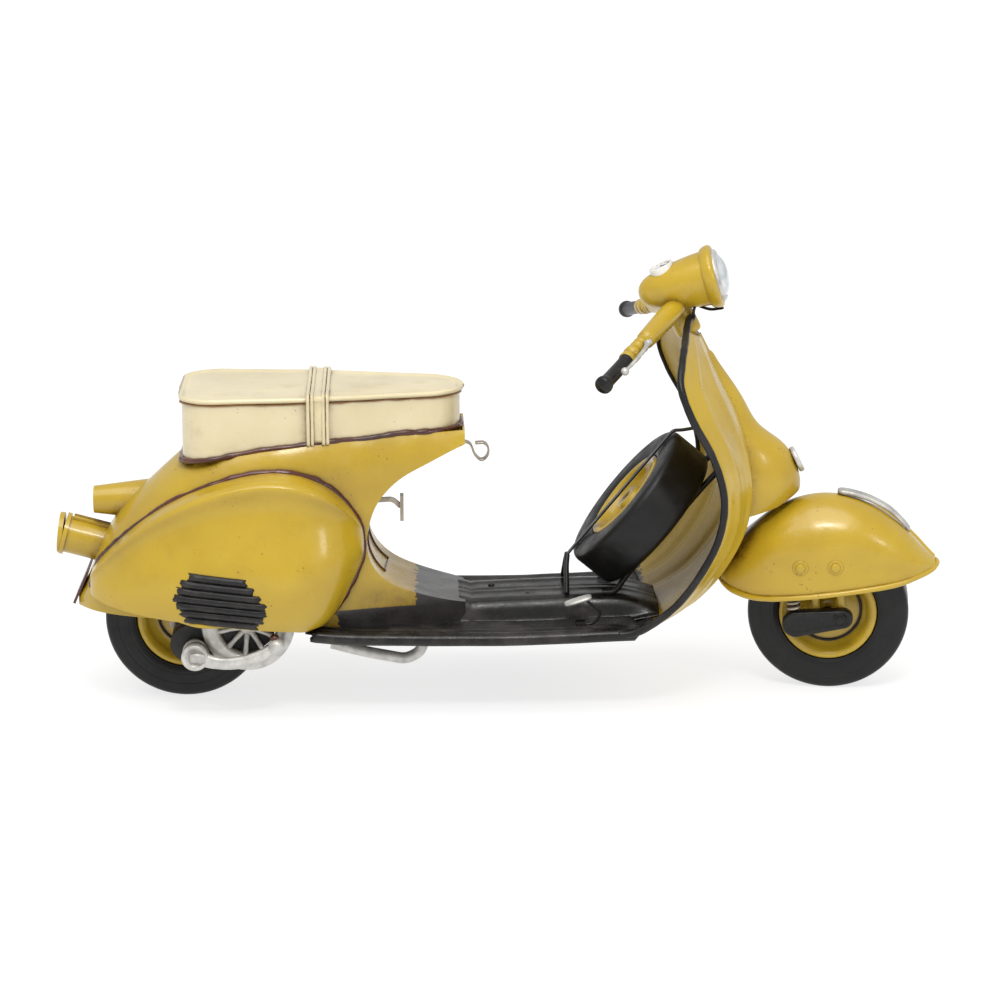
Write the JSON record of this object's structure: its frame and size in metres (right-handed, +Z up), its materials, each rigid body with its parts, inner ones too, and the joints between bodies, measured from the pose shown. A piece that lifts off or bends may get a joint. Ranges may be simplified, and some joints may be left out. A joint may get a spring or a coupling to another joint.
{
  "type": "tin model motor scooter",
  "caption": "Antiqued tin model of a step-through motor scooter with turning bars, free wheels, a folding stand, a box seat and a spare wheel behind the leg shield.",
  "frame": {"origin": "on the ground plane, midway along the length, in the plane of the rear wheel and floor", "axes": "+X forward, +Y to the scooter's left, +Z up; the bars and front wheel stand turned 9 degrees to the right at rest"},
  "size_m": [0.2996, 0.1143, 0.1533],
  "materials": {
    "yellow_paint": "semi-gloss enamel with a brown antique wash in the seams",
    "cream_paint": "satin enamel with a light brown wash at the seams",
    "black_paint": "semi-gloss enamel, rubbed at the edges",
    "brown_paint": "dark red-brown enamel, satin",
    "silver_paint": "dull silver enamel",
    "bare_steel": "tinned steel wire and strip, slightly tarnished",
    "tyre": "smooth, satin black",
    "lens": "clear, domed",
    "dial_white": null
  },
  "bodies": {
    "chassis": {"body_shell": "yellow_paint", "body_front_panel": "yellow_paint", "right_cowl": "yellow_paint", "left_cowl": "yellow_paint", "cowl_beads": "brown_paint", "cowl_rims": "yellow_paint", "louvre_grille": "black_paint", "seat_box": "cream_paint", "seat_lid": "cream_paint", "seat_straps": "cream_paint", "seat_bead": "brown_paint", "bag_hook": "bare_steel", "fuel_lever": "bare_steel", "floor_board": "black_paint", "floor_tunnel": "black_paint", "leg_shield": "yellow_paint", "shield_trim": "black_paint", "horn_cover": "yellow_paint", "horn_badge": "yellow_paint", "head_tube": "bare_steel", "spare_tyre": "tyre", "spare_rim": "yellow_paint", "spare_strap": "black_paint", "spare_carrier": "black_paint", "floor_lugs": "black_paint", "upper_lamp": "yellow_paint", "tail_lamp_body": "yellow_paint", "tail_lamp_trim": "yellow_paint", "tail_lamp_cap": "yellow_paint", "number_plate": "brown_paint", "axle_saddle": "bare_steel", "rear_axle": "bare_steel", "engine_case": "black_paint", "fan_housing": "silver_paint"},
    "steering": {"front_fender": "yellow_paint", "fender_bead": "yellow_paint", "fender_crest": "cream_paint", "front_bolts": "yellow_paint", "fork_tubes": "yellow_paint", "link_arm": "black_paint", "coil_spring": "bare_steel", "front_axle": "bare_steel", "steering_stem": "bare_steel", "handlebar": "yellow_paint", "handlebar_grips": "black_paint", "headlight_housing": "yellow_paint", "headlight_bezel": "yellow_paint", "headlight_rim": "silver_paint", "headlight_lens": "lens", "speedometer_dial": "dial_white", "lamp_cable": "black_paint"},
    "front_wheel": {"front_tyre": "tyre", "front_rim": "yellow_paint"},
    "rear_wheel": {"rear_tyre": "tyre", "rear_rim": "yellow_paint"},
    "stand": {"centre_stand": "silver_paint"},
    "kickstarter": {"kick_lever": "silver_paint"},
    "pedal": {"brake_pedal": "bare_steel"},
    "right_lever": {"right_brake_lever": "silver_paint"},
    "left_lever": {"left_brake_lever": "silver_paint"}
  },
  "joints": [
    {"name": "steering", "type": "hinge", "parent": "chassis", "child": "steering", "pos_m": [0.1137, 0, 0.0274], "axis": [-0.454, 0, 0.891], "range_deg": [-26, 44]},
    {"name": "front_wheel_spin", "type": "hinge", "parent": "steering", "child": "front_wheel", "pos_m": [0.1137, -0.00002, 0.02772], "axis": [0.1394, 0.9877, 0.071], "continuous": true},
    {"name": "rear_wheel_spin", "type": "hinge", "parent": "chassis", "child": "rear_wheel", "pos_m": [-0.106, 0, 0.0274], "axis": [0, 1, 0], "continuous": true},
    {"name": "stand_fold", "type": "hinge", "parent": "chassis", "child": "stand", "pos_m": [-0.0256, 0, 0.0222], "axis": [0, 1, 0], "range_deg": [-70, 0]},
    {"name": "kick_start", "type": "hinge", "parent": "chassis", "child": "kickstarter", "pos_m": [-0.1014, -0.0376, 0.0228], "axis": [0, 1, 0], "range_deg": [0, 30]},
    {"name": "foot_brake", "type": "hinge", "parent": "chassis", "child": "pedal", "pos_m": [0.027, -0.0246, 0.0286], "axis": [0, 1, 0], "range_deg": [0, 12]},
    {"name": "right_lever_pull", "type": "hinge", "parent": "steering", "child": "right_lever", "pos_m": [0.04845, -0.03089, 0.12507], "axis": [-0.454, 0, 0.891], "range_deg": [-2.5, 0]},
    {"name": "left_lever_pull", "type": "hinge", "parent": "steering", "child": "left_lever", "pos_m": [0.0575, 0.03329, 0.12777], "axis": [-0.4453, 0.0615, 0.8933], "range_deg": [0, 2.5]}
  ]
}
